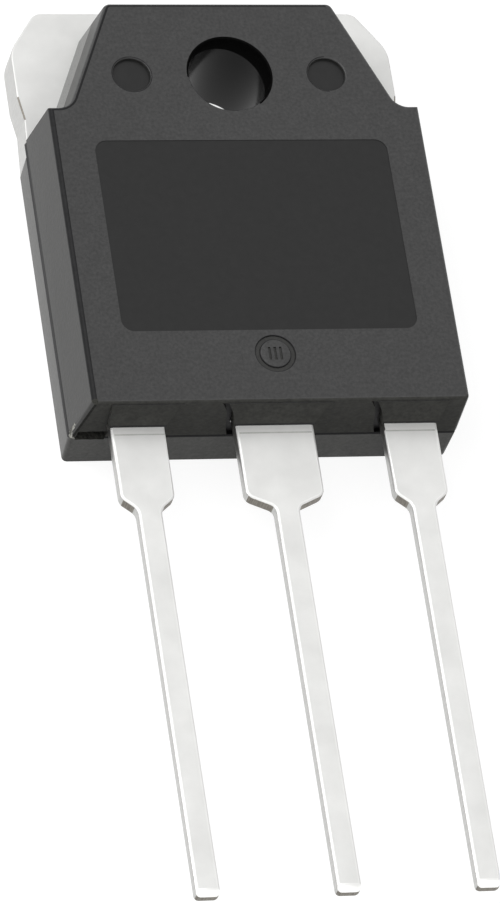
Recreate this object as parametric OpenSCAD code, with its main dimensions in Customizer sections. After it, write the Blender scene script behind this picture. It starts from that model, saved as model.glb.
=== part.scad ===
// Three-lead plastic power transistor, screw-mounted flat package.
// It lies on its mounting face. The origin is the centre of the screw hole on that face.
// +X runs across the leads, +Y from the leads to the tab's top, +Z out of the moulded front.
// All lengths are in millimetres.

/* [View] */

// Piece to show

/* [Moulded body] */

// Width of the body at its parting line
body_w = 15.6; // [15.2:0.1:16]
// Thickness from the mounting face to the moulded front
body_t = 4.8; // [4.6:0.1:5.2]
// Distance from the hole's centre to the end the leads come out of
end_to_hole = 14.9; // [14.5:0.1:15.5]
// Height of the parting line above the mounting face
parting_z = 1.7; // [1.6:0.05:2]
// How far the front face is set in from the parting line on each side
front_inset = 0.3; // [0.2:0.05:0.5]
// How far the back edge is set in from the parting line on each side
back_inset = 0.07; // [0.05:0.01:0.1]
// How far the shoulder at the parting line lies below the hole's centre
shoulder_drop = 1.2; // [1:0.1:1.6]
// Slope of the shoulder, from the parting line to the front
shoulder_rake = 0.27; // [0.1:0.01:0.4]
// How far the shoulder at the metal lies below the shoulder at the parting line
shoulder_back_drop = 0.6; // [0.3:0.05:0.8]
// Depth of the recessed end between the leads, at the parting line
end_recess = 0.41; // [0.2:0.01:0.5]
// How far the front face's lower edge is set in from the lead bosses
end_front_inset = 0.2; // [0.1:0.02:0.3]
// How far the back face's lower edge is set in from the lead bosses
end_back_inset = 0.3; // [0.2:0.02:0.36]

/* [Tab round the screw] */

// Width of the tab at its top, on the front face
tab_top_w = 9.2; // [8.6:0.1:9.8]
// Width of the tab at the shoulder, on the front face
tab_foot_w = 13.3; // [12.6:0.1:13.5]
// Distance from the hole's centre to the tab's top, on the front face
tab_top_to_hole = 3.3; // [3:0.1:3.5]
// Outward slope of the tab's walls, from the front face down to the metal
tab_wall_rake = 0.42; // [0.2:0.02:0.5]

/* [Screw hole] */

// Diameter of the moulded hole for the screw, the same from front to back
hole_d = 3.3; // [3.1:0.1:3.5]
// Thickness of the moulding that lines the wider hole in the metal
hole_lining = 0.8; // [0.5:0.1:1.2]

/* [Marks in the moulded front] */

// Diameter of the two round ejector marks beside the hole
pin_mark_d = 1.5; // [1:0.1:1.8]
// Distance of each ejector mark from the middle
pin_mark_x = 3.97; // [3.6:0.05:4]
// Depth of the ejector marks
pin_mark_depth = 0.16; // [0.1:0.02:0.4]
// Width of the smooth field left for a marking
field_w = 11.84; // [10:0.1:12]
// Height of the smooth field left for a marking
field_h = 8.55; // [7:0.1:9]
// Corner radius of the smooth field
field_r = 0.5; // [0.2:0.1:1]
// Depth of the smooth field
field_depth = 0.04; // [0.02:0.01:0.1]
// Distance from the hole's centre to the middle of the field
field_to_hole = 7.3; // [7:0.02:7.6]
// Diameter of the small ring mark under the field
ring_mark_d = 1.56; // [1:0.02:1.6]
// Width and depth of the ring mark's groove
ring_groove = 0.1; // [0.06:0.02:0.14]
// Distance from the hole's centre to the ring mark
ring_mark_to_hole = 12.62; // [12.5:0.02:12.8]

/* [Lead end] */

// Distance between neighbouring leads
pitch = 5.45; // [5.3:0.05:5.6]
// How far each boss reaches past its lead on both sides
boss_margin = 0.08; // [0.05:0.01:0.15]
// How much wider each side of the boss is at the front face
boss_flare = 0.42; // [0.3:0.02:0.6]
// How much wider the outer bosses are at the front face on their outer side
boss_outer_flare = 0.2; // [0:0.02:0.5]
// Width of the broken-off moulding gate beside the first lead
gate_w = 0.9; // [0.5:0.1:1]
// Height of the broken-off moulding gate
gate_h = 0.7; // [0.4:0.1:0.8]
// Depth of the broken-off moulding gate
gate_depth = 0.4; // [0.2:0.05:0.6]

/* [Heat spreader] */

// Thickness of the metal plate
plate_t = 1.5; // [1.3:0.05:1.55]
// How far each ear's side is set in from the body's widest line
ear_inset = 0; // [0:0.05:0.3]
// Distance from the hole's centre to the metal's top edge
ear_top_to_hole = 4.9; // [4.8:0.1:5.2]
// Width of the sloped corner of each ear
ear_corner_w = 1.2; // [0.8:0.1:1.6]
// Height of the sloped corner of each ear
ear_corner_h = 1.75; // [1.2:0.05:2]
// Depth of the shallow side notch below each ear
notch_depth = 0.16; // [0.08:0.02:0.24]
// Distance of the notch's deepest line below the hole's centre
notch_drop = 0.05; // [0:0.05:0.2]
// Length of the notch's slope towards the ear
notch_slope = 1.05; // [0.6:0.05:1.4]
// Thickness of the moulding on each side of the plate
side_wall = 1; // [0.8:0.05:1.3]
// Distance from the hole's centre to the plate's inner end
plate_end_to_hole = 12.2; // [11.5:0.1:12.4]

/* [Leads] */

// Thickness of the leads
lead_t = 0.6; // [0.5:0.05:0.7]
// Height of the leads' back surface above the mounting face
lead_z = 2.6; // [2.5:0.05:2.8]
// Width of the middle lead next to the body
mid_lead_w = 3.14; // [2.8:0.02:3.2]
// Width of the outer leads next to the body
side_lead_w = 2.16; // [1.8:0.02:2.2]
// Width of the slim part of each lead
slim_w = 0.96; // [0.8:0.02:1.2]
// Length of the wide part outside the body
wide_len = 3.05; // [2.8:0.05:3.5]
// Length of the slope from the wide part to the slim part
slope_len = 0.5; // [0.3:0.05:0.8]
// Whole length of the leads outside the body
lead_len = 19.8; // [18:0.1:21]
// Length of the bevel at each lead's tip
tip_bevel_len = 0.32; // [0.2:0.02:0.5]
// Depth of the bevel at each lead's tip
tip_bevel_depth = 0.18; // [0.1:0.02:0.3]

/* [Inside] */

// Side of the square silicon die
die_w = 5; // [3:0.1:6]
// Thickness of the die
die_t = 0.25; // [0.15:0.01:0.35]
// Thickness of the solder under the die
solder_t = 0.05; // [0.03:0.01:0.1]
// How far the solder shows round the die
solder_rim = 0.1; // [0.05:0.01:0.3]
// Distance from the hole's centre to the die's centre
die_to_hole = 6.6; // [6:0.1:7.2]
// Width of the base lead's bonding pad
base_pad_w = 2.6; // [2.2:0.1:2.8]
// Width of the emitter lead's bonding pad
emitter_pad_w = 3.2; // [2.6:0.1:3.4]
// Distance from the lead bosses' face to the pads' far edge
pad_depth = 3; // [2.6:0.1:3.2]
// Distance from the lead bosses' face to the pads' near edge
pad_cover = 1; // [0.8:0.1:1.2]
// Distance of the base wire's foot from the die's side
base_foot_x = 1; // [0.6:0.1:1.5]
// Distance of the base wire's foot from the die's lower edge
base_foot_y = 1.2; // [0.8:0.1:1.5]
// Distance of the base wire's other foot from its pad's far edge
base_pad_foot = 1; // [0.8:0.1:1.2]
// Distance of the first emitter wire's foot from the die's middle
emitter_foot_x = 0.5; // [0.4:0.1:0.8]
// Distance of the first emitter wire's foot from the die's lower edge
emitter_foot_y = 1.6; // [1.4:0.1:1.8]
// Distance of the first emitter wire's other foot from its lead's middle line
emitter_pad_foot_x = 0.4; // [0.2:0.1:0.5]
// Distance of the first emitter wire's other foot from its pad's far edge
emitter_pad_foot_y = 1.1; // [1:0.1:1.2]
// Distance between the two emitter wires' feet, across the leads
emitter_wire_step = 1; // [0.8:0.1:1.2]
// Distance between the two emitter wires' feet, along the leads
emitter_wire_stagger = 0.5; // [0.3:0.1:0.6]
// Diameter of the base bond wire
base_wire_d = 0.2; // [0.12:0.01:0.3]
// Diameter of the two emitter bond wires
emitter_wire_d = 0.38; // [0.25:0.01:0.4]
// Radius of the bends in the bond wires
wire_bend_r = 0.7; // [0.5:0.05:1]
// Angle at which the bond wires rise from the die
wire_rise_angle = 38; // [30:1:42]
// Angle at which the bond wires come down on the pads
wire_fall_angle = 12; // [8:1:16]

/* [Hidden] */

$fn = 64;
wire_sides = 12;
eps = 0.01;
past = body_t / 4;
reach = body_w + lead_len;

lead_top = lead_z + lead_t;
mid_x = body_w / 2;
end_y = -end_to_hole;
recess_y = end_y + end_recess;
shoulder_y = -shoulder_drop;
shoulder_front_y = shoulder_y - shoulder_rake;
shoulder_back_y = shoulder_y - shoulder_back_drop;
tab_base_y = tab_top_to_hole + tab_wall_rake;
tab_angle = atan2((tab_foot_w - tab_top_w) / 2, tab_top_to_hole - shoulder_front_y);
plate_hole_d = hole_d + 2 * hole_lining;
die_z = plate_t + solder_t;
die_top = die_z + die_t;
die_y = -die_to_hole;
pad_y = end_y + pad_depth;

// A section drawn in X and Z, drawn out along Y from y0 to y1.
module along_y(y0, y1) {
  translate([0, y1, 0]) rotate([90, 0, 0]) linear_extrude(y1 - y0) children();
}

// A section drawn in Y and Z, drawn out along X from x0 to x1.
module along_x(x0, x1) {
  translate([x0, 0, 0]) rotate([90, 0, 90]) linear_extrude(x1 - x0) children();
}

// Both sides of the body, widest at the parting line.
module side_section() {
  a = mid_x - back_inset;
  b = mid_x - front_inset;
  polygon([[-a, 0], [a, 0], [mid_x, parting_z], [b, body_t],
           [-b, body_t], [-mid_x, parting_z]]);
}

// The lead end and the tab's top, seen from the side.
module long_section() {
  polygon([[end_y + end_back_inset, 0], [recess_y, parting_z],
           [end_y + end_front_inset, body_t], [tab_top_to_hole, body_t],
           [tab_base_y, plate_t], [tab_base_y, 0]]);
}

// The room beside the tab: above the sloped shoulder and outside the tab's raked wall.
module beside_tab() {
  rake = tab_wall_rake / (body_t - plate_t);
  intersection() {
    along_x(-reach, reach)
      polygon([[shoulder_back_y, -past], [shoulder_back_y, plate_t], [shoulder_y, plate_t],
               [shoulder_y, parting_z], [shoulder_front_y, body_t],
               [shoulder_front_y - past * shoulder_rake / (body_t - parting_z), body_t + past],
               [reach, body_t + past], [reach, -past]]);
    translate([tab_foot_w / 2, shoulder_front_y, 0]) rotate([0, 0, tab_angle])
      along_y(-reach, reach)
        polygon([[rake * (body_t + past), -past], [-rake * past, body_t + past],
                 [reach, body_t + past], [reach, -past]]);
  }
}

// The slab of moulding the other features are cut from or added to.
module body_blank() {
  difference() {
    intersection() {
      along_y(end_y - past, tab_base_y + past) side_section();
      along_x(-reach, reach) long_section();
    }
    beside_tab();
    mirror([1, 0, 0]) beside_tab();
  }
}

// One boss that a lead comes out of, flared towards the front face and sloped back under the lead. The two
// flares are those of its -X and +X sides.
module lead_boss(x, lead_w, left_flare, right_flare) {
  low = lead_w / 2 + boss_margin;
  intersection() {
    translate([x, 0, 0]) along_y(end_y - past, end_y + past)
      polygon([[-low, parting_z], [low, parting_z], [low, lead_top], [low + right_flare, body_t],
               [-low - left_flare, body_t], [-low, lead_top]]);
    along_x(-reach, reach)
      polygon([[recess_y, parting_z], [end_y, lead_z], [end_y, lead_top],
               [end_y + end_front_inset, body_t], [end_y + past, body_t], [end_y + past, parting_z]]);
  }
}

// The bare field for a marking, a rounded rectangle.
module marking_field() {
  x = field_w / 2 - field_r;
  y = field_h / 2 - field_r;
  translate([0, -field_to_hole, body_t - field_depth]) linear_extrude(past)
    union() {
      square([field_w, 2 * y], center = true);
      square([2 * x, field_h], center = true);
      for (i = [-1, 1], j = [-1, 1]) translate([i * x, j * y]) circle(r = field_r);
    }
}

// Marks left in the front face by the mould.
module mould_marks() {
  for (i = [-1, 1]) translate([i * pin_mark_x, 0, body_t - pin_mark_depth])
    cylinder(d = pin_mark_d, h = past);
  translate([0, -ring_mark_to_hole, body_t - ring_groove]) difference() {
    cylinder(d = ring_mark_d, h = past);
    translate([0, 0, -eps]) cylinder(d = ring_mark_d - 2 * ring_groove, h = past + 2 * eps);
  }
  marking_field();
}

// Epoxy moulding, cast round the metal, so its inside is the shape of the metal pieces.
module package_body() {
  color("#3a3a3a") difference() {
    union() {
      body_blank();
      lead_boss(-pitch, side_lead_w, boss_outer_flare, boss_flare);
      lead_boss(0, mid_lead_w, boss_flare, boss_flare);
      lead_boss(pitch, side_lead_w, boss_flare, boss_outer_flare);
    }
    translate([0, 0, -past]) cylinder(d = hole_d, h = body_t + 2 * past);
    mould_marks();
    translate([-mid_x + front_inset, end_y - past, parting_z])
      cube([gate_w, past + end_recess + gate_depth, gate_h]);
    plate(past);
    collector_neck();
    side_lead_solid(-pitch, base_pad_w);
    side_lead_solid(pitch, emitter_pad_w);
    die_block();
    solder_block();
    base_wire_solid();
    emitter_wires_solid();
  }
}

// The plate's outline: ears, side notches and the narrower part inside the moulding.
module plate_outline() {
  e = mid_x - ear_inset;
  p = mid_x - side_wall;
  n = e - notch_depth;
  half = [[0, ear_top_to_hole], [e - ear_corner_w, ear_top_to_hole],
          [e, ear_top_to_hole - ear_corner_h], [e, notch_slope - notch_drop],
          [n, -notch_drop], [mid_x - back_inset, shoulder_back_y], [p, shoulder_back_y],
          [p, -plate_end_to_hole], [0, -plate_end_to_hole]];
  polygon(half);
  mirror([1, 0, 0]) polygon(half);
}

// The plate itself, with room to spare below it when it is used as a cutter.
module plate(below) {
  translate([0, 0, -below]) difference() {
    linear_extrude(plate_t + below) plate_outline();
    translate([0, 0, -past]) cylinder(d = plate_hole_d, h = plate_t + below + 2 * past);
  }
}

// The bent neck and the middle lead, one piece with the plate.
module collector_neck() {
  y0 = -plate_end_to_hole;
  y1 = end_y + pad_cover;
  along_x(-mid_lead_w / 2, mid_lead_w / 2)
    polygon([[y0 + lead_t, plate_t - lead_t], [y0, plate_t - lead_t], [y1, lead_z],
             [end_y + eps, lead_z], [end_y + eps, lead_top], [y1 + lead_t / 2, lead_top],
             [y0 + lead_t / 2, plate_t], [y0 + lead_t, plate_t]]);
  lead_outside(0, mid_lead_w);
}

// A lead's part outside the body: wide, then sloped, then slim, with a bevelled tip.
module lead_outside(x, wide_w) {
  w = wide_w / 2;
  s = slim_w / 2;
  y1 = end_y - wide_len;
  y2 = y1 - slope_len;
  y3 = end_y - lead_len;
  intersection() {
    translate([x, 0, lead_z]) linear_extrude(lead_t)
      polygon([[-w, end_y + 2 * eps], [w, end_y + 2 * eps], [w, y1], [s, y2], [s, y3],
               [-s, y3], [-s, y2], [-w, y1]]);
    along_x(-reach, reach)
      polygon([[end_y + past, lead_z], [end_y + past, lead_top], [y3 + tip_bevel_len, lead_top],
               [y3, lead_top - tip_bevel_depth], [y3, lead_z]]);
  }
}

// An outer lead with its bonding pad inside the moulding.
module side_lead_solid(x, pad_w) {
  w = side_lead_w / 2;
  inward = x < 0 ? 1 : -1;
  edge = x - inward * w;
  lead_outside(x, side_lead_w);
  translate([x - w, end_y + eps, lead_z]) cube([2 * w, 2 * pad_cover, lead_t]);
  translate([min(edge, edge + inward * pad_w), end_y + pad_cover, lead_z])
    cube([pad_w, pad_depth - pad_cover, lead_t]);
}

// Copper heat spreader with its bare ears and, in one piece with it, the middle lead.
module heat_spreader() {
  color("#dcdcda") union() {
    plate(0);
    collector_neck();
  }
}

module base_lead() {
  color("#dcdcda") side_lead_solid(-pitch, base_pad_w);
}

module emitter_lead() {
  color("#dcdcda") side_lead_solid(pitch, emitter_pad_w);
}

module die_block() {
  translate([-die_w / 2, die_y - die_w / 2, die_z]) cube([die_w, die_w, die_t]);
}

module silicon_die() {
  color("#6c7480") die_block();
}

module solder_block() {
  w = die_w + 2 * solder_rim;
  translate([-w / 2, die_y - w / 2, plate_t]) cube([w, w, solder_t]);
}

module die_attach_solder() {
  color("#b9bcc0") solder_block();
}

// The route of a bond wire in its own upright plane, as points with x, height and heading.
// It leaves a flat foot, rises, bends over and comes down to a second foot.
function wire_route(run, rise, foot) =
  let (r = wire_bend_r, up = wire_rise_angle, down = wire_fall_angle,
       across = run - 2 * foot - 2 * r * (sin(up) + sin(down)),
       height = rise - 2 * r * (cos(down) - cos(up)),
       s1 = (across * sin(down) + height * cos(down)) / sin(up + down),
       s2 = (across * sin(up) - height * cos(up)) / sin(up + down),
       x2 = foot + r * sin(up) + s1 * cos(up),
       z2 = r * (1 - cos(up)) + s1 * sin(up),
       x4 = x2 + r * (sin(up) + sin(down)) + s2 * cos(down),
       z4 = z2 + r * (cos(down) - cos(up)) - s2 * sin(down))
  concat([[0, 0, 0]],
         [for (i = [0:3]) let (t = up * i / 3) [foot + r * sin(t), r * (1 - cos(t)), t]],
         [for (i = [0:5]) let (t = up - (up + down) * i / 5)
           [x2 + r * (sin(up) - sin(t)), z2 + r * (cos(t) - cos(up)), t]],
         [for (i = [0:2]) let (t = down * i / 2 - down)
           [x4 + r * (sin(down) + sin(t)), z4 + r * (cos(down) - cos(t)), t]],
         [[run, rise, 0]]);

// A bond wire from the die at a to the pad at b, a tube of flats along its route, flat underneath.
module bond_wire(a, b, d) {
  m = wire_sides;
  route = wire_route(norm([b.x - a.x, b.y - a.y]), lead_top - die_top, 2 * d);
  last = len(route) - 1;
  points = [for (p = route) for (k = [0:m - 1])
    let (t = 360 * (k + 0.5) / m - 90, q = d / 2 / cos(180 / m))
    [p.x - q * sin(t) * sin(p[2]), q * cos(t), p.y + q * sin(t) * cos(p[2])]];
  sides = [for (i = [0:last - 1]) for (k = [0:m - 1])
    let (e = i * m + k, f = i * m + (k + 1) % m) each [[e, e + m, f + m], [e, f + m, f]]];
  ends = [[for (k = [0:m - 1]) k], [for (k = [m - 1:-1:0]) last * m + k]];
  translate([a.x, a.y, die_top + d / 2]) rotate([0, 0, atan2(b.y - a.y, b.x - a.x)])
    polyhedron(points, concat(sides, ends));
}

module base_wire_solid() {
  bond_wire([-die_w / 2 + base_foot_x, die_y - die_w / 2 + base_foot_y],
            [-pitch, pad_y - base_pad_foot], base_wire_d);
}

module emitter_wires_solid() {
  die_foot = [emitter_foot_x, die_y - die_w / 2 + emitter_foot_y];
  pad_foot = [pitch - emitter_pad_foot_x, pad_y - emitter_pad_foot_y];
  step = [emitter_wire_step, emitter_wire_stagger];
  bond_wire(die_foot, pad_foot, emitter_wire_d);
  bond_wire(die_foot + step, pad_foot + step, emitter_wire_d);
}

module base_bond_wire() {
  color("#d5d7da") base_wire_solid();
}

module emitter_bond_wires() {
  color("#d5d7da") emitter_wires_solid();
}

package_body();
heat_spreader();
base_lead();
emitter_lead();
silicon_die();
die_attach_solder();
base_bond_wire();
emitter_bond_wires();
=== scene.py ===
"""Flat moulded power transistor with a screw tab, lying on its metal back."""
import math

import bmesh
import bpy
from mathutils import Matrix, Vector, noise


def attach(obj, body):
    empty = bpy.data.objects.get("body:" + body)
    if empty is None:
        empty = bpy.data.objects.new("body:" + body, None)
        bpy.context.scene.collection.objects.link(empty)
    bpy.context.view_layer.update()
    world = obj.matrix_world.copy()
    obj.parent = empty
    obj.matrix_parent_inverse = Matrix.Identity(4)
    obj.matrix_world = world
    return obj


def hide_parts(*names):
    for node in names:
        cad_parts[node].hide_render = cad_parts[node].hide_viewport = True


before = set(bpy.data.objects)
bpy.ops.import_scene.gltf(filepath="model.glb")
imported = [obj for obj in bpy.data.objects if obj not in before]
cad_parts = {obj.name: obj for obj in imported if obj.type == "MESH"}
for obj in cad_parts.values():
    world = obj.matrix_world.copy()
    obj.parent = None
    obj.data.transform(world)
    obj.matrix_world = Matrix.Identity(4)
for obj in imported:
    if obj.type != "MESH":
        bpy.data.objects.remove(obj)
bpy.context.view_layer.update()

# Moulded body
# Black filled epoxy, transfer moulded round the plate and the leads in a two-part mould. Both halves have
# draft, so the body is widest at the parting line, and its lead end is recessed between three lead bosses.
# All lengths are in millimetres until a piece is finished.
half_w, body_t, parting_z = 7.8, 4.8, 1.7
front_inset, back_inset = 0.3, 0.07
end_y, recess_y, end_front_y, end_back_y = -14.9, -14.49, -14.7, -14.6
shoulder_y, shoulder_front_y, shoulder_back_y = -1.2, -1.47, -1.8
tab_top_y, tab_base_y, plate_t = 3.3, 3.72, 1.5
tab_top_w, tab_foot_w, tab_rake = 9.2, 13.3, (tab_base_y - tab_top_y) / (body_t - plate_t)
lead_z, lead_t, pitch = 2.6, 0.6, 5.45

# Cutting shapes start and end here, clear of the part. What lies above front_z is in the front face.
beside, below, above = 9, -1, body_t + 1
front_z = body_t - 0.01
# How near two points, a point and a plane, or two directions may be and still count as the same.
same_point, same_plane, same_way = 1e-4, 1e-5, math.radians(0.2)
# The least turn at an edge that may be rounded, and the least that is shaded as sharp.
least_corner, least_sharp = math.radians(12), math.radians(35)


def drawn_out(outline, way):
    """A flat outline drawn out along a vector into a closed bar."""
    bm = bmesh.new()
    face = bm.faces.new([bm.verts.new(p) for p in outline])
    far = bmesh.ops.extrude_face_region(bm, geom=[face])["geom"]
    bmesh.ops.translate(bm, vec=way, verts=[v for v in far if isinstance(v, bmesh.types.BMVert)])
    bmesh.ops.recalc_face_normals(bm, faces=bm.faces)
    return bm


def trimmed(bm, point, outward):
    """A convex block cut off flat at a plane, with the cut closed."""
    cut = bmesh.ops.bisect_plane(bm, geom=bm.verts[:] + bm.edges[:] + bm.faces[:], dist=same_plane,
                                 plane_co=point, plane_no=outward, clear_outer=True)
    rim = [e for e in cut["geom_cut"] if isinstance(e, bmesh.types.BMEdge) and e.is_boundary]
    if rim:
        bmesh.ops.edgeloop_fill(bm, edges=rim)
        bmesh.ops.recalc_face_normals(bm, faces=bm.faces)


def joined(stock, tool, how):
    """The stock with the tool's shape joined on (UNION) or cut away (DIFFERENCE)."""
    blocks = []
    for bm in (stock, tool):
        mesh = bpy.data.meshes.new("block")
        bm.to_mesh(mesh)
        bm.free()
        blocks.append(bpy.data.objects.new("block", mesh))
        bpy.context.scene.collection.objects.link(blocks[-1])
    step = blocks[0].modifiers.new("step", "BOOLEAN")
    step.object, step.operation, step.solver = blocks[1], how, "EXACT"
    done = bmesh.new()
    done.from_object(blocks[0], bpy.context.evaluated_depsgraph_get())
    for block in blocks:
        mesh = block.data
        bpy.data.objects.remove(block)
        bpy.data.meshes.remove(mesh)
    bmesh.ops.remove_doubles(done, verts=done.verts, dist=same_point)
    bmesh.ops.dissolve_limit(done, angle_limit=same_way, verts=done.verts, edges=done.edges)
    return done


def rounded(bm, chosen, width, segments):
    """Rounds the edges that a test picks, given each edge's middle point and its two faces' normals."""
    edges = []
    for e in bm.edges:
        if len(e.link_faces) == 2 and e.calc_face_angle(0) > least_corner:
            if chosen((e.verts[0].co + e.verts[1].co) / 2, [f.normal for f in e.link_faces]):
                edges.append(e)
    bmesh.ops.bevel(bm, geom=edges, offset=width, segments=segments, profile=0.5, affect="EDGES",
                    offset_type="OFFSET", clamp_overlap=False, material=-1)


def round_bar(x, y, z0, z1, r, sides):
    """An upright round bar."""
    bm = bmesh.new()
    bmesh.ops.create_cone(bm, cap_ends=True, segments=sides, radius1=r, radius2=r, depth=z1 - z0)
    bmesh.ops.translate(bm, vec=(x, y, (z0 + z1) / 2), verts=bm.verts)
    return bm


# Slab with draft on both sides, seen from the side and drawn out across the leads.
side_view = ((end_back_y, 0), (recess_y, parting_z), (end_front_y, body_t), (tab_top_y, body_t),
             (tab_base_y, plate_t), (tab_base_y, 0))
body = drawn_out([(-beside, y, z) for y, z in side_view], (2 * beside, 0, 0))
for side in (-1, 1):
    trimmed(body, (side * half_w, 0, parting_z), (side * (body_t - parting_z), 0, front_inset))
    trimmed(body, (side * half_w, 0, parting_z), (side * parting_z, 0, -back_inset))

# The room beside the tab, above the shoulder. Its inner edge is round, which gives the tab's foot a fillet.
# The shoulder's slope runs on a little above the front.
foot_fillet, room_w, slope_on = 0.45, 12, 0.1
wall_way = Vector((tab_top_y - shoulder_front_y, (tab_foot_w - tab_top_w) / 2, 0)).normalized()
for side in (-1, 1):
    room = drawn_out([(0, shoulder_y, below), (0, shoulder_y, parting_z), (0, shoulder_front_y, body_t),
                      (0, shoulder_front_y - slope_on, above), (0, beside, above), (0, beside, below)],
                     (room_w, 0, 0))
    trimmed(room, (tab_foot_w / 2, shoulder_front_y, body_t), (-wall_way.x, -wall_way.y, -tab_rake))
    rounded(room, lambda p, n: min(n[0].x, n[1].x) < -0.5 and min(n[0].y, n[1].y) < -0.9, foot_fillet, 6)
    bmesh.ops.scale(room, vec=(side, 1, 1), verts=room.verts)
    bmesh.ops.recalc_face_normals(room, faces=room.faces)
    body = joined(body, room, "DIFFERENCE")

# The tab's upper corners, the lead end's corners and the front's edges are a little round. The corners are
# rounded more than the front edge that meets them, because a smaller corner would fold the mesh.
tab_corner_r, end_corner_r, edge_r = 0.18, 0.19, 0.17
rounded(body, lambda p, n: p.y > tab_top_y - 0.1 and min(abs(n[0].x), abs(n[1].x)) < 0.1
        and max(abs(n[0].x), abs(n[1].x)) > 0.5 and max(abs(n[0].z), abs(n[1].z)) < 0.5, tab_corner_r, 4)
rounded(body, lambda p, n: abs(p.x) > half_w - 0.8 and p.y < recess_y + 0.3
        and max(abs(n[0].z), abs(n[1].z)) < 0.4, end_corner_r, 3)
rounded(body, lambda p, n: p.z > front_z, edge_r, 3)

# Three bosses. Their sides flare in a curve towards the front, except for the outermost two, and run in
# under the lead, where the boss also slopes back. Each pair is how far the side lies out from the lead's
# edge and its height. They start just above the parting line and end just under the front's rounding.
side_lead_half, mid_lead_half, lead_top = 1.08, 1.57, lead_z + lead_t
boss_foot, boss_top = parting_z + 0.03, body_t - edge_r - 0.01
flared = [(-0.3, boss_foot), (-0.06, lead_z), (0.05, lead_top), (0.12, 3.6), (0.24, 4.0), (0.42, 4.4),
          (0.53, boss_top)]
upright = [(-0.3, boss_foot), (-0.06, lead_z), (0.05, lead_top), (0.19, boss_top)]
# The slide's edge leaves a narrow relief along each flared left flank. It lies partly under the boss, which
# is put on after it, and a little lower, so that their faces never fall together.
relief_in, relief_out, relief_drop, relief_y, relief_depth = 0.1, 0.25, 0.02, -15, 0.7
for x, half, left, right in ((-pitch, side_lead_half, upright, flared), (0, mid_lead_half, flared, flared),
                             (pitch, side_lead_half, flared, upright)):
    boss = drawn_out([(x + half + out, end_y, z) for out, z in right]
                     + [(x - half - out, end_y, z) for out, z in reversed(left)], (0, 1, 0))
    trimmed(boss, (x, end_y, lead_top), (0, -(body_t - lead_top), end_front_y - end_y))
    trimmed(boss, (x, end_y, lead_z), (0, -(lead_z - parting_z), end_y - recess_y))
    if left is flared:
        near = [(x - half - out + relief_in, relief_y, z - relief_drop) for out, z in flared]
        far = [(x - half - out - relief_out, relief_y, z - relief_drop) for out, z in reversed(flared)]
        body = joined(body, drawn_out(near + far, (0, relief_depth, 0)), "DIFFERENCE")
    body = joined(body, boss, "UNION")

# A shallow groove along the parting line on both sides and the lead end, where the flash broke off. Its
# mouth is given a little outside the wall, lower down and higher up.
groove_depth, groove_lower, groove_upper, groove_y = 0.06, 0.75, 0.5, -16
for side in (-1, 1):
    outside = side * (half_w + 0.1)
    groove = drawn_out([(outside, groove_y, parting_z - groove_lower),
                        (side * (half_w - groove_depth), groove_y, parting_z),
                        (outside, groove_y, parting_z + groove_upper)], (0, -groove_y, 0))
    body = joined(body, groove, "DIFFERENCE")
end_groove_depth, end_groove_half, outside = 0.05, 0.16, recess_y - 0.06
groove = drawn_out([(-beside, outside, parting_z - end_groove_half),
                    (-beside, recess_y + end_groove_depth, parting_z),
                    (-beside, outside, parting_z + end_groove_half)], (2 * beside, 0, 0))
body = joined(body, groove, "DIFFERENCE")

# The back is open round the plate, so the moulding is only a rim there.
plate_half, plate_end_y, plate_hole_r, hole_sides = 6.8, -12.2, 2.45, 96
right_half = ((beside, beside), (beside, shoulder_back_y), (plate_half, shoulder_back_y),
              (plate_half, plate_end_y))
pocket = drawn_out([(x, y, below) for x, y in right_half]
                   + [(-x, y, below) for x, y in reversed(right_half)], (0, 0, plate_t - below))
pocket = joined(pocket, round_bar(0, 0, below - 1, above, plate_hole_r, hole_sides), "DIFFERENCE")
body = joined(body, pocket, "DIFFERENCE")

# The screw hole, which the moulding lines right through the metal, with a rounded rim at the front.
hole_r, front_rim_r, back_rim_r, near_by = 1.65, 0.09, 0.08, 0.05
body = joined(body, round_bar(0, 0, below, above, hole_r, hole_sides), "DIFFERENCE")
rounded(body, lambda p, n: p.z > front_z and p.xy.length < hole_r + near_by, front_rim_r, 3)
rounded(body, lambda p, n: p.z < 0.01 and p.xy.length < hole_r + near_by, back_rim_r, 3)

# Two shallow ejector pin marks.
pin_mark_x, pin_mark_r, pin_mark_depth, pin_mark_rim_r = 3.97, 0.75, 0.16, 0.07
for side in (-1, 1):
    middle = Vector((side * pin_mark_x, 0))
    pin = round_bar(middle.x, 0, body_t - pin_mark_depth, above, pin_mark_r, 48)
    body = joined(body, pin, "DIFFERENCE")
    rounded(body, lambda p, n: p.z > front_z and (p.xy - middle).length < pin_mark_r + near_by,
            pin_mark_rim_r, 3)

# A bare field for a marking, left by a polished insert that stands a little out of the mould's face. It is
# cut with a block 1 mm high, and has a rim as wide as the gap round the insert.
field_w, field_h, field_y, field_depth, field_r, field_rim = 11.84, 8.55, -7.3, 0.02, 0.5, 0.11
field = bmesh.new()
bmesh.ops.create_cube(field, size=1)
bmesh.ops.scale(field, vec=(field_w, field_h, 1), verts=field.verts)
bmesh.ops.translate(field, vec=(0, field_y, body_t - field_depth + 0.5), verts=field.verts)
rounded(field, lambda p, n: abs(n[0].z) < 0.1 and abs(n[1].z) < 0.1, field_r, 8)
body = joined(body, field, "DIFFERENCE")
sunk_middle = Vector((0, field_y, body_t - field_depth))
sunk_face = min(body.faces, key=lambda f: (f.calc_center_median() - sunk_middle).length)
bmesh.ops.inset_region(body, faces=[sunk_face], thickness=field_rim, use_even_offset=True)

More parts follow.
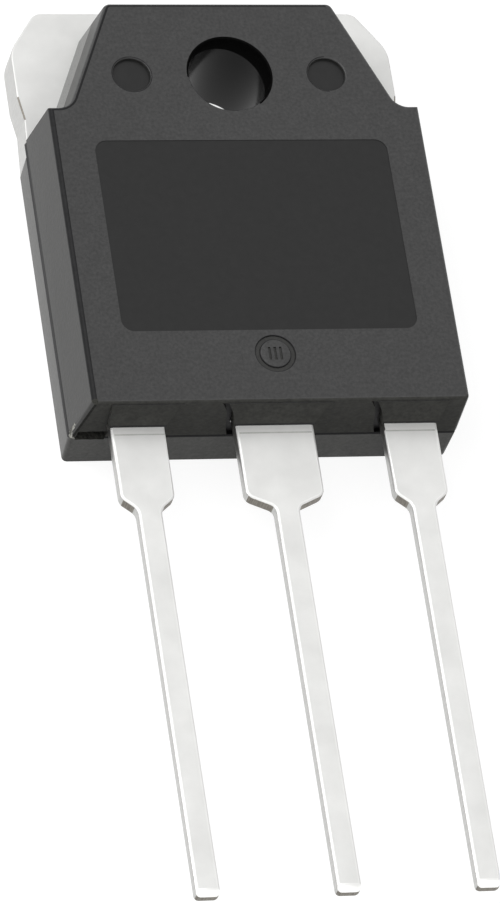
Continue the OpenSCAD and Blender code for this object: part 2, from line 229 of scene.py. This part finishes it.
# A small ring mark with three plain ticks side by side in it, from the mould's cavity pin.
ring_y, ring_r, ring_groove, ring_depth, ring_edge_r = -12.62, 0.78, 0.15, 0.05, 0.04
tick_half_w, tick_half_h, tick_step = 0.05, 0.28, 0.22
ring_floor = body_t - ring_depth
ring = bmesh.new()
corners = [ring.verts.new((r, 0, z)) for r, z in ((ring_r - ring_groove, ring_floor), (ring_r, ring_floor),
                                                  (ring_r, above), (ring_r - ring_groove, above))]
for a, b in zip(corners, corners[1:] + corners[:1]):
    ring.edges.new((a, b))
bmesh.ops.spin(ring, geom=ring.verts[:] + ring.edges[:], cent=(0, 0, 0), axis=(0, 0, 1),
               angle=math.tau, steps=64, use_merge=True, use_duplicate=False)
bmesh.ops.recalc_face_normals(ring, faces=ring.faces)
bmesh.ops.translate(ring, vec=(0, ring_y, 0), verts=ring.verts)
body = joined(body, ring, "DIFFERENCE")
for x in (-tick_step, 0, tick_step):
    left, right, low, high = x - tick_half_w, x + tick_half_w, ring_y - tick_half_h, ring_y + tick_half_h
    tick = drawn_out([(left, low, ring_floor), (right, low, ring_floor), (right, high, ring_floor),
                      (left, high, ring_floor)], (0, 0, 1))
    body = joined(body, tick, "DIFFERENCE")
ring_middle, inner_r = Vector((0, ring_y)), ring_r - ring_groove
rounded(body, lambda p, n: p.z > front_z
        and inner_r - near_by < (p.xy - ring_middle).length < ring_r + near_by, ring_edge_r, 2)

# The broken-off gate beside the first lead, a ragged pocket in the recessed end, and the chip out of the
# corner next to it. Each is a block with lumps on it and finer jags on those, given as how many there are to
# a millimetre and how far they stand out. Blender's noise starts from the clock unless it is seeded.
noise.seed_set(2)
lump_rate, lump, jag_rate, jag = 4.1, 0.06, 11.3, 0.03
for size, middle in (((1.2, 0.8, 0.66), (-6.95, recess_y - 0.02, parting_z + 0.2)),
                     ((0.2, 0.3, 0.9), (-half_w, recess_y + 0.05, parting_z + 0.42))):
    gate = bmesh.new()
    bmesh.ops.create_cube(gate, size=1)
    bmesh.ops.scale(gate, vec=size, verts=gate.verts)
    bmesh.ops.translate(gate, vec=middle, verts=gate.verts)
    bmesh.ops.subdivide_edges(gate, edges=gate.edges, cuts=5, use_grid_fill=True)
    for v in gate.verts:
        v.co += noise.noise_vector(v.co * lump_rate) * lump + noise.noise_vector(v.co * jag_rate) * jag
    body = joined(body, gate, "DIFFERENCE")


def srgb(code):
    """A colour written as six hex digits, turned linear."""
    parts = [int(code[i:i + 2], 16) / 255 for i in (0, 2, 4)]
    return tuple(c / 12.92 if c <= 0.04045 else ((c + 0.055) / 1.055) ** 2.4 for c in parts) + (1.0,)


def add(tree, kind, settings, inputs, stops=()):
    """Adds one node. An input is given a value, or another node's output to link, and a colour ramp its
    stops, each a place and a colour."""
    made = tree.nodes.new("ShaderNode" + kind)
    for name, value in settings.items():
        setattr(made, name, value)
    for socket, source in inputs.items():
        if isinstance(source, bpy.types.NodeSocket):
            tree.links.new(source, made.inputs[socket])
        else:
            made.inputs[socket].default_value = source
    for i, (position, code) in enumerate(stops):
        made.color_ramp.elements[i].position = position
        made.color_ramp.elements[i].color = srgb(code)
    return made


def new_material(name):
    """An empty material: its node tree, its surface shader and the place on the object in metres."""
    made = bpy.data.materials.new(name)
    made.use_nodes = True
    tree = made.node_tree
    place = add(tree, "TexCoord", {}, {}).outputs["Object"]
    return made, tree, tree.nodes["Principled BSDF"], place


# Patterns read places in metres, so a pattern's scale is this over its size in millimetres. The real grain
# of a spark-eroded face is a few hundredths of a millimetre, too fine to show here, so it is drawn coarser.
mm_per_m = 1000.0
cloud_mm, relief_m, epoxy_ior = 0.5, 0.00002, 1.5


def moulded_epoxy(name, dark, light, grain_mm, relief, roughness, shine):
    """Black filled epoxy as one kind of mould face leaves it: a fine grain between two shades, a slow
    cloudiness over it, and a relief with the grain."""
    made, tree, surface, place = new_material(name)
    grain = add(tree, "TexNoise", {}, {"Vector": place, "Scale": mm_per_m / grain_mm, "Detail": 3.0,
                                       "Roughness": 0.6})
    cloud = add(tree, "TexNoise", {}, {"Vector": place, "Scale": mm_per_m / cloud_mm, "Detail": 3.0,
                                       "Roughness": 0.6})
    fine = add(tree, "ValToRGB", {}, {"Fac": grain.outputs["Fac"]}, ((0.32, dark), (0.68, light)))
    broad = add(tree, "ValToRGB", {}, {"Fac": cloud.outputs["Fac"]}, ((0.3, "e4e4e4"), (0.7, "ffffff")))
    tone = add(tree, "Mix", {"data_type": "RGBA", "blend_type": "MULTIPLY"},
               {0: 1.0, 6: fine.outputs["Color"], 7: broad.outputs["Color"]})
    bump = add(tree, "Bump", {}, {"Strength": relief, "Distance": relief_m, "Height": grain.outputs["Fac"]})
    tree.links.new(tone.outputs[2], surface.inputs["Base Color"])
    tree.links.new(bump.outputs["Normal"], surface.inputs["Normal"])
    surface.inputs["Roughness"].default_value = roughness
    surface.inputs["IOR"].default_value = epoxy_ior
    surface.inputs["Specular IOR Level"].default_value = shine
    return made


# From a spark-eroded mould face: dark grey and dull, with an even grain that breaks the light up.
spark_epoxy = moulded_epoxy("epoxy_spark_eroded_mould_face", "252525", "3a3a3a", 0.13, 0.6, 0.42, 0.5)
# From a polished insert: darker and smoother, with hardly any grain. Along its rim, in the ring mark and on
# the walls of the front half the eroded face is finer, and in between.
polished_epoxy = moulded_epoxy("epoxy_polished_mould_insert", "131313", "181818", 0.3, 0.1, 0.4, 0.35)
fine_epoxy = moulded_epoxy("epoxy_finely_spark_eroded_face", "212120", "2e2e2c", 0.15, 0.4, 0.42, 0.4)
# Painted shade: a dark line beside the grained faces, in the grooves and reliefs, along the front's edges
# and over each lead.
painted_shade_epoxy = moulded_epoxy("epoxy_painted_shade_line", "171718", "212122", 0.2, 0.3, 0.45, 0.15)
# From the ground and lapped core pin: black and smooth, so the hole faintly mirrors what lies below it.
pin_epoxy = moulded_epoxy("epoxy_lapped_core_pin", "0e0e0e", "141414", 0.3, 0.05, 0.2, 0.1)
# Painted shadow in the hole's upper band and on its rim towards the tab's top: pure black, without any
# shine.
shadow_epoxy = moulded_epoxy("epoxy_painted_shadow_in_hole", "050505", "0a0a0a", 0.2, 0.2, 0.6, 0.02)
# From the walls beside the tab, stoned smooth along the draw: they shine at a low angle.
side_epoxy = moulded_epoxy("epoxy_stoned_side_wall", "222221", "30302f", 0.15, 0.25, 0.2, 0.4)
# Painted light on the back half: a pale copy of the epoxy, lighter than the front half all round.
painted_light_epoxy = moulded_epoxy("epoxy_back_half_painted_light", "50504e", "5e5e5c", 0.15, 0.3, 0.3, 0.15)
# From the slides between the leads: dark and even, with a little grain.
slide_epoxy = moulded_epoxy("epoxy_slide_face", "444442", "50504d", 0.16, 0.3, 0.6, 0.03)
# The same, darker, to the left of the first boss beside the gate.
darker_slide_epoxy = moulded_epoxy("epoxy_slide_face_darker_by_gate", "2a2a28", "393937", 0.16, 0.3, 0.6, 0.03)
# Broken where the gate snapped off: rough and dark, with flecks of the glass filler.
broken_epoxy = moulded_epoxy("epoxy_broken_gate_face", "0e0e0c", "4a4a45", 0.12, 1.0, 0.8, 0.3)
# Chipped at the gate's outer corner, where the filler shows nearly white.
chipped_epoxy = moulded_epoxy("epoxy_chipped_corner", "55554f", "d8d8d0", 0.12, 1.0, 0.8, 0.5)

# The hole's wall is divided where its painted shadow ends, a little askew, the tab's walls where their front
# part begins, as finely eroded as the sides' draft, and the bosses just above the leads, where a painted
# shadow line runs over each lead.
shadow_band_depth, shadow_band_tilt, shadow_line_h = 0.78, 0.14, 0.13
band_middle, band_way = Vector((0, 0, body_t - shadow_band_depth)), Vector((shadow_band_tilt, 0, 1))
straight_up, tab_band_z, shadow_line_z = Vector((0, 0, 1)), 3.2, lead_top + shadow_line_h
for middle, way, chosen in (
        (band_middle, band_way, lambda p, n: p.xy.length < hole_r + 0.02),
        (Vector((0, 0, tab_band_z)), straight_up, lambda p, n: p.y > shoulder_front_y and abs(n.z) < 0.3),
        (Vector((0, 0, shadow_line_z)), straight_up, lambda p, n: p.y < end_back_y and n.y < -0.9)):
    cut = [face for face in body.faces if chosen(face.calc_center_median(), face.normal)]
    in_cut = set(cut)
    rim = [part for part in body.verts[:] + body.edges[:] if not in_cut.isdisjoint(part.link_faces)]
    bmesh.ops.bisect_plane(body, geom=rim + cut, dist=same_plane, plane_co=middle, plane_no=way)

# Which finish each face of the moulding has, from where it lies and which way it faces. The first line that
# fits a face gives its finish.
finishes = [spark_epoxy, polished_epoxy, fine_epoxy, painted_shade_epoxy, pin_epoxy, shadow_epoxy, side_epoxy,
            painted_light_epoxy, slide_epoxy, darker_slide_epoxy, broken_epoxy, chipped_epoxy]
same_depth, field_least_area, jag_most_area = 0.004, 20, 0.06
rim_depth, rim_shadow_way, rim_shadow_from = 0.12, Vector((0.42, 0.91)), -0.8
end_zone_y, relief_zone_y, boss_zone_y = end_front_y + 0.6, -14.45, -14.8
gate_x, chip_x, first_boss_x, darker_slide_x, corner_x, plain_edge_x = -6.3, -7.62, -6, -6.6, 7.3, 4
for face in body.faces:
    p, n, size = face.calc_center_median(), face.normal, face.calc_area()
    sunk, from_parting, from_hole = body_t - p.z, abs(p.z - parting_z), p.xy.length
    level, steep, on_rounding = n.z > 0.99, abs(n.z) < 0.3, 0.02 < n.z < 0.985
    at_end, on_tab = p.y < end_zone_y, p.y > shoulder_front_y
    finish = spark_epoxy
    # The marks in the front.
    if level and abs(sunk - field_depth) < same_depth:
        finish = polished_epoxy if size > field_least_area else fine_epoxy
    elif level and abs(sunk - pin_mark_depth) < same_depth:
        finish = polished_epoxy
    elif level and abs(sunk - ring_depth) < same_depth:
        finish = fine_epoxy
    # The hole's wall, with painted shadow in its upper band, and its rim, painted black with shadow towards
    # the tab's top and to the right.
    elif from_hole < hole_r + 0.01 and steep:
        finish = shadow_epoxy if (p - band_middle).dot(band_way) > 0 else pin_epoxy
    elif from_hole < hole_r + rim_depth and sunk < rim_depth and not level:
        finish = shadow_epoxy if p.xy.dot(rim_shadow_way) > rim_shadow_from else spark_epoxy
    # The gate's small ragged faces, and the groove at the parting line, painted dark as shade.
    elif at_end and p.x < gate_x and p.z > 1.2 and size < jag_most_area:
        finish = chipped_epoxy if p.x < chip_x else broken_epoxy
    elif at_end and from_parting < 0.2 or abs(p.x) > half_w - 0.1 and from_parting < 0.3:
        finish = painted_shade_epoxy
    # The lead end: its back half and the first boss's outer flank, both painted light, the body's corners,
    # the reliefs and the line over each lead, painted dark as shade, the slides' faces and the edges.
    elif at_end and p.z < parting_z and n.z > -0.3:
        finish = painted_light_epoxy
    elif at_end and p.x < first_boss_x and n.x < -0.7 and lead_top - 0.1 < p.z < boss_top + 0.1:
        finish = painted_light_epoxy
    elif at_end and abs(n.x) > 0.6 and abs(p.x) > corner_x:
        finish = fine_epoxy
    elif at_end and (p.y > relief_zone_y or p.y < boss_zone_y and lead_top < p.z < shadow_line_z and n.y < -0.9):
        finish = painted_shade_epoxy
    elif at_end and p.z > parting_z and abs(n.z) < 0.6:
        finish = darker_slide_epoxy if p.x < darker_slide_x else slide_epoxy
    elif at_end and on_rounding:
        finish = spark_epoxy if n.z > 0.75 else slide_epoxy
    # The front's other edges, painted dark as shade except on the tab and at the right, where they take the
    # face's finish, and the walls of the front half and of the back half, which is painted light.
    elif not at_end and sunk < 0.25 and on_rounding:
        finish = spark_epoxy if on_tab and n.z < 0.8 or p.x > plain_edge_x else painted_shade_epoxy
    elif not at_end and steep and p.z < parting_z:
        finish = painted_light_epoxy
    elif not at_end and steep:
        finish = side_epoxy if on_tab and p.z < tab_band_z else fine_epoxy
    face.material_index = finishes.index(finish)


def finished(bm, name, finishes, stands_for):
    """Turns millimetres into metres and makes the piece, with even shading on its flat faces."""
    bmesh.ops.scale(bm, vec=[1 / mm_per_m] * 3, verts=bm.verts)
    for face in bm.faces:
        face.smooth = True
    mesh = bpy.data.meshes.new(name)
    bm.to_mesh(mesh)
    bm.free()
    mesh.set_sharp_from_angle(angle=least_sharp)
    piece = bpy.data.objects.new(name, mesh)
    bpy.context.scene.collection.objects.link(piece)
    for finish in finishes:
        mesh.materials.append(finish)
    even = piece.modifiers.new("even_shading", "WEIGHTED_NORMAL")
    even.keep_sharp, even.weight = True, 100
    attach(piece, "root")
    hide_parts(stands_for)


finished(body, "moulded_body", finishes, "package_body")

# Heat spreader with the middle lead
# One piece of copper strip, thick at the plate and thin at the lead, stamped, bent up at the neck and
# plated with matte tin. The plate's ears stay bare, and the rest is held by the moulding.
ear_top_y, ear_corner_w, ear_corner_h, notch = 4.9, 1.2, 1.75, 0.16
notch_top_y, notch_y = 1.0, -0.05
ear_top_r, ear_side_r, plate_front_r, plate_back_r = 0.25, 0.4, 0.07, 0.04
half = [(half_w - ear_corner_w, ear_top_y), (half_w, ear_top_y - ear_corner_h), (half_w, notch_top_y),
        (half_w - notch, notch_y), (half_w - back_inset, shoulder_back_y), (plate_half, shoulder_back_y),
        (plate_half, plate_end_y)]
outline = [(x, y, 0) for x, y in half] + [(-x, y, 0) for x, y in reversed(half)]


def stamped(outline, corners, thickness, z):
    """A stamped blank: a flat outline with some corners rounded, each given as its place and how much is
    rounded off, drawn up to its thickness."""
    bm = bmesh.new()
    bm.faces.new([bm.verts.new(p) for p in outline])
    for x, y, width in corners:
        near = min(bm.verts, key=lambda v: (v.co.xy - Vector((x, y))).length)
        bmesh.ops.bevel(bm, geom=[near], offset=width, segments=5, profile=0.5, affect="VERTICES",
                        offset_type="OFFSET", material=-1)
    bmesh.ops.translate(bm, vec=(0, 0, z), verts=bm.verts)
    far = bmesh.ops.extrude_face_region(bm, geom=bm.faces[:])["geom"]
    raised = [v for v in far if isinstance(v, bmesh.types.BMVert)]
    bmesh.ops.translate(bm, vec=(0, 0, thickness), verts=raised)
    bmesh.ops.recalc_face_normals(bm, faces=bm.faces)
    return bm


ears = [(side * (half_w - ear_corner_w), ear_top_y, ear_top_r) for side in (-1, 1)]
ears += [(side * half_w, ear_top_y - ear_corner_h, ear_side_r) for side in (-1, 1)]
spreader = stamped(outline, ears, plate_t, 0)
rounded(spreader, lambda p, n: p.y > shoulder_back_y and p.z > plate_t - 0.01, plate_front_r, 3)
rounded(spreader, lambda p, n: p.y > shoulder_back_y and p.z < 0.01, plate_back_r, 2)

slim_half, wide_end_y, slim_start_y, tip_y = 0.48, -17.95, -18.45, -34.7
slim_corner_r, tip_corner_r, lead_front_r, lead_back_r = 0.2, 0.2, 0.12, 0.15
tip_bevel_depth, tip_bevel_run, outside_y = 0.18, 0.3, -14


def lead_blank(x, wide_half, inner, shoulder_r):
    """A lead's stamped blank, from its inner outline to its tip. The edges outside the moulding are rounded
    before the tip gets its bevel, because the other way round they fold over."""
    outer = [(x + wide_half, wide_end_y), (x + slim_half, slim_start_y), (x + slim_half, tip_y),
             (x - slim_half, tip_y), (x - slim_half, slim_start_y), (x - wide_half, wide_end_y)]
    corners = [(x + side * wide_half, wide_end_y, shoulder_r) for side in (-1, 1)]
    corners += [(x + side * slim_half, slim_start_y, slim_corner_r) for side in (-1, 1)]
    corners += [(x + side * slim_half, tip_y, tip_corner_r) for side in (-1, 1)]
    bm = stamped([(a, b, 0) for a, b in inner + outer], corners, lead_t, lead_z)
    rounded(bm, lambda p, n: p.z > lead_top - 0.01 and p.y < outside_y, lead_front_r, 3)
    rounded(bm, lambda p, n: p.z < lead_z + 0.01 and p.y < outside_y, lead_back_r, 3)
    trimmed(bm, (x, tip_y, lead_top - tip_bevel_depth), (0, -tip_bevel_depth, tip_bevel_run))
    return bm


# The neck climbs from the plate's end to the lead's height, seen here from the side.
mid_start_y, mid_shoulder_r = end_y + 0.5, 0.25
neck = [(plate_end_y + lead_t, plate_t - lead_t), (plate_end_y, plate_t - lead_t), (end_y + 1, lead_z),
        (mid_start_y, lead_z), (mid_start_y, lead_top), (end_y + 1.3, lead_top),
        (plate_end_y + 0.3, plate_t), (plate_end_y + lead_t, plate_t)]
neck = drawn_out([(-mid_lead_half, y, z) for y, z in neck], (2 * mid_lead_half, 0, 0))
spreader = joined(spreader, neck, "UNION")
start = [(-mid_lead_half, mid_start_y), (mid_lead_half, mid_start_y)]
spreader = joined(spreader, lead_blank(0, mid_lead_half, start, mid_shoulder_r), "UNION")
spreader = joined(spreader, round_bar(0, 0, below, above, plate_hole_r, hole_sides), "DIFFERENCE")

tin_cloud_mm, line_w_mm, line_len_mm, crystal_mm, drag_w_mm, drag_len_mm = 1.6, 0.08, 3.0, 0.06, 0.05, 0.5
tin_relief_m, tin_metallic = 0.00001, 0.3


def tinned(name, dark, light, roughness):
    """Tin plated on copper strip, between two shades of near-white: a faint cloudiness, fine rolling lines
    along Y and the crystals' grain."""
    made, tree, surface, place = new_material(name)
    cloud = add(tree, "TexNoise", {}, {"Vector": place, "Scale": mm_per_m / tin_cloud_mm, "Detail": 4.0})
    across, along = mm_per_m / line_w_mm, mm_per_m / line_len_mm
    rolled = add(tree, "Mapping", {}, {"Vector": place, "Scale": (across, along, across)})
    lines = add(tree, "TexNoise", {}, {"Vector": rolled.outputs["Vector"], "Scale": 1.0, "Detail": 2.0})
    crystal = add(tree, "TexNoise", {}, {"Vector": place, "Scale": mm_per_m / crystal_mm, "Detail": 2.0})
    tone = add(tree, "ValToRGB", {}, {"Fac": cloud.outputs["Fac"]}, ((0.3, dark), (0.7, light)))
    height = add(tree, "Mix", {"data_type": "FLOAT"}, {0: 0.4, 2: lines.outputs["Fac"],
                                                       3: crystal.outputs["Fac"]})
    bump = add(tree, "Bump", {}, {"Strength": 0.2, "Distance": tin_relief_m, "Height": height.outputs[0]})
    tree.links.new(tone.outputs["Color"], surface.inputs["Base Color"])
    tree.links.new(bump.outputs["Normal"], surface.inputs["Normal"])
    surface.inputs["Metallic"].default_value = tin_metallic
    surface.inputs["Roughness"].default_value = roughness
    return made


# Matte tin: its crystals scatter much of the light, so it is a soft near-white more than a mirror, and the
# metallic value is low.
tin = tinned("matte_tin_plated_copper", "e1e1df", "ededeb", 0.45)
# The rounded edges carry a painted highlight: lighter, smoother tin that shows as thin bright lines.
highlight_tin = tinned("tin_edge_painted_highlight", "f0f0ee", "f8f8f6", 0.3)


def punched_metal(name, dark, light, roughness):
    """A punched edge of the strip, between two shades, with drag lines across its thickness."""
    made, tree, surface, place = new_material(name)
    across, along = mm_per_m / drag_w_mm, mm_per_m / drag_len_mm
    drag = add(tree, "Mapping", {}, {"Vector": place, "Scale": (across, across, along)})
    lines = add(tree, "TexNoise", {}, {"Vector": drag.outputs["Vector"], "Scale": 1.0, "Detail": 3.0})
    tone = add(tree, "ValToRGB", {}, {"Fac": lines.outputs["Fac"]}, ((0.3, dark), (0.7, light)))
    bump = add(tree, "Bump", {}, {"Strength": 0.4, "Distance": tin_relief_m, "Height": lines.outputs["Fac"]})
    tree.links.new(tone.outputs["Color"], surface.inputs["Base Color"])
    tree.links.new(bump.outputs["Normal"], surface.inputs["Normal"])
    surface.inputs["Metallic"].default_value = 1.0
    surface.inputs["Roughness"].default_value = roughness
    return made


# The sides were punched before plating, so the tin on them is thinner and greyer.
punched = punched_metal("tin_over_punched_copper_edge", "b4b4b2", "c6c6c4", 0.3)
# The ends were cut after plating: bare copper gone dull, with a little smeared tin.
sheared = punched_metal("sheared_copper_smeared_tin", "716d66", "918d86", 0.55)
# A film of resin that bled out along the lead's root, a thin dull line across it.
film = moulded_epoxy("epoxy_film_bled_onto_tin", "c0c0bc", "ccccc8", 0.1, 0.2, 0.5, 0.5)


# Where the line of resin runs across each lead, and where bare copper shows: at the leads' cut tips and at
# the ears' notches.
root_line_y, root_line_half, tip_zone_y = -15.22, 0.03, -17
cut_from_y, cut_to_y, cut_x = -0.1, 1.1, 7
strip_finishes = [tin, punched, sheared, highlight_tin, film]


def mark_edges(bm):
    """Gives the upright faces, the rounded edges and the film of resin at the root their finishes."""
    for y in (root_line_y - root_line_half, root_line_y + root_line_half):
        bmesh.ops.bisect_plane(bm, geom=bm.verts[:] + bm.edges[:] + bm.faces[:], dist=same_plane,
                               plane_co=(0, y, 0), plane_no=(0, 1, 0))
    for face in bm.faces:
        p, n = face.calc_center_median(), face.normal
        finish = tin
        if abs(n.z) < 0.3:
            finish = sheared if n.y < -0.6 and p.y < tip_zone_y else punched
        elif 0.3 < n.z < 0.99 and p.y < outside_y:
            finish = highlight_tin
        elif 0.3 < n.z < 0.99 and cut_from_y < p.y < cut_to_y and abs(p.x) > cut_x:
            finish = sheared
        elif n.z > 0.9 and abs(p.y - root_line_y) < root_line_half:
            finish = film
        face.material_index = strip_finishes.index(finish)


mark_edges(spreader)
finished(spreader, "heat_spreader_and_collector_lead", strip_finishes, "heat_spreader")

# Base and emitter leads
# Two more leads of the same tinned strip, stamped with it and cut free after moulding. Each has a wider pad
# for its bond wires inside the moulding, which reaches towards the middle.
pad_top_y, pad_foot_y, side_shoulder_r = -11.9, -13.9, 0.18
for name, x, pad_w in (("base_lead", -pitch, 2.6), ("emitter_lead", pitch, 3.2)):
    way = 1 if x < 0 else -1
    near, far = x - way * side_lead_half, x + way * side_lead_half
    pad_end = near + way * pad_w
    inner = [(near, pad_top_y), (pad_end, pad_top_y), (pad_end, pad_foot_y), (far, pad_foot_y)]
    lead = lead_blank(x, side_lead_half, inner if way > 0 else inner[::-1], side_shoulder_r)
    mark_edges(lead)
    finished(lead, name + "_stamped", strip_finishes, name)

# Chip, solder and bond wires
# A silicon chip soldered on the plate, and aluminium wires bonded from it to the outer leads. All of this
# is sealed in the moulding.
cell_mm, flow_mm, draw_mm = 1.2, 0.6, 0.1
# Polished silicon: a blue-grey mirror, divided into small cells by its metal pattern.
silicon, tree, surface, place = new_material("polished_silicon_with_metal_pattern")
cells = add(tree, "TexBrick", {"offset": 0.5}, {"Vector": place, "Scale": mm_per_m / cell_mm,
                                              "Mortar Size": 0.03, "Color1": srgb("5c6470"),
                                              "Color2": srgb("67707c"), "Mortar": srgb("3c4048")})
tree.links.new(cells.outputs["Color"], surface.inputs["Base Color"])
surface.inputs["Metallic"].default_value = 0.6
surface.inputs["Roughness"].default_value = 0.2

# Soft solder, melted and set again: a dull silver with slow cloudy patches.
solder, tree, surface, place = new_material("soft_solder_reflowed")
flow = add(tree, "TexNoise", {}, {"Vector": place, "Scale": mm_per_m / flow_mm, "Detail": 3.0})
tone = add(tree, "ValToRGB", {}, {"Fac": flow.outputs["Fac"]}, ((0.3, "a8aaae"), (0.7, "c4c6ca")))
tree.links.new(tone.outputs["Color"], surface.inputs["Base Color"])
surface.inputs["Metallic"].default_value = 1.0
surface.inputs["Roughness"].default_value = 0.35

# Drawn aluminium: bright and clean, with the faint mottle of the die it was pulled through.
wire, tree, surface, place = new_material("drawn_aluminium_wire")
draw = add(tree, "TexNoise", {}, {"Vector": place, "Scale": mm_per_m / draw_mm, "Detail": 2.0})
tone = add(tree, "ValToRGB", {}, {"Fac": draw.outputs["Fac"]}, ((0.3, "cfd0d2"), (0.7, "e2e3e5")))
tree.links.new(tone.outputs["Color"], surface.inputs["Base Color"])
surface.inputs["Metallic"].default_value = 1.0
surface.inputs["Roughness"].default_value = 0.3

for node_name, finish in (("silicon_die", silicon), ("die_attach_solder", solder),
                          ("base_bond_wire", wire), ("emitter_bond_wires", wire)):
    for place_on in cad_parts[node_name].material_slots:
        place_on.material = finish

# Floor, light and camera
# A plain white sweep under soft light from all round, stronger from the left and from above the leads. The
# sweep lies a hair under the part, and it and the world are bright only to the camera, to mirrors and to
# glass, so that they show as white without lighting the part any more. Lengths are in metres from here on.
sweep_half, sweep_gap, sweep_glow, world_light = 1.5, 0.00002, 0.84, 0.42
sheet = bmesh.new()
bmesh.ops.create_grid(sheet, x_segments=1, y_segments=1, size=sweep_half)
bmesh.ops.translate(sheet, vec=(0, 0, -sweep_gap), verts=sheet.verts)
floor_mesh = bpy.data.meshes.new("floor")
sheet.to_mesh(floor_mesh)
sheet.free()
floor = bpy.data.objects.new("floor", floor_mesh)
bpy.context.scene.collection.objects.link(floor)


def seen_directly(tree):
    """Clears a node tree and starts it with a value: 1 for a ray from the camera, a mirror or glass, and 0
    for any other."""
    tree.nodes.clear()
    rays = add(tree, "LightPath", {}, {})
    mirrored = add(tree, "Math", {"operation": "MAXIMUM"}, {0: rays.outputs["Is Camera Ray"],
                                                            1: rays.outputs["Is Glossy Ray"]})
    return add(tree, "Math", {"operation": "MAXIMUM"}, {0: mirrored.outputs[0],
                                                        1: rays.outputs["Is Transmission Ray"]}).outputs[0]


# Matte paper: its plain grey takes the part's soft shadow, and with its glow it shows as white.
paper = bpy.data.materials.new("white_paper_sweep")
paper.use_nodes = True
tree = paper.node_tree
seen = seen_directly(tree)
glow = add(tree, "Math", {"operation": "MULTIPLY"}, {0: seen, 1: sweep_glow})
matte = add(tree, "BsdfDiffuse", {}, {"Color": srgb("949494")})
light = add(tree, "Emission", {}, {"Color": (1, 1, 1, 1), "Strength": glow.outputs[0]})
both = add(tree, "AddShader", {}, {0: matte.outputs[0], 1: light.outputs[0]})
add(tree, "OutputMaterial", {}, {"Surface": both.outputs[0]})
floor_mesh.materials.append(paper)

world = bpy.data.worlds.new("studio")
bpy.context.scene.world = world
world.use_nodes = True
tree = world.node_tree
seen = seen_directly(tree)
strength = add(tree, "Mix", {"data_type": "FLOAT"}, {0: seen, 2: world_light, 3: 1.0})
backdrop = add(tree, "Background", {}, {"Color": (1, 1, 1, 1), "Strength": strength.outputs[0]})
add(tree, "OutputWorld", {}, {"Surface": backdrop.outputs[0]})


def softbox(name, place, target, size, power):
    """A square soft light aimed at a point."""
    lamp = bpy.data.lights.new(name, "AREA")
    lamp.shape, lamp.size, lamp.energy = "SQUARE", size, power
    holder = bpy.data.objects.new(name, lamp)
    holder.location = place
    holder.rotation_euler = (Vector(target) - Vector(place)).to_track_quat("-Z", "Y").to_euler()
    bpy.context.scene.collection.objects.link(holder)


body_middle, box_size = (0, -0.01, 0), 0.5
softbox("left_box", (-0.35, 0.1, 0.42), body_middle, box_size, 2.0)
softbox("front_box", (0.05, -0.35, 0.55), body_middle, box_size, 0.8)

# The camera's lens, place and turn were solved from the photograph, with the 5.45 mm pitch as its scale.
camera = bpy.data.cameras.new("camera")
camera.sensor_width, camera.lens = 36.0, 278.25
camera.clip_start, camera.clip_end = 0.01, 10.0
holder = bpy.data.objects.new("camera", camera)
holder.location = (-0.0720595, -0.1396723, 0.2302015)
holder.rotation_euler = [math.radians(a) for a in (29.65115, -12.96473, -8.32670)]
bpy.context.scene.collection.objects.link(holder)
bpy.context.scene.camera = holder
bpy.context.scene.view_settings.view_transform = "Standard"
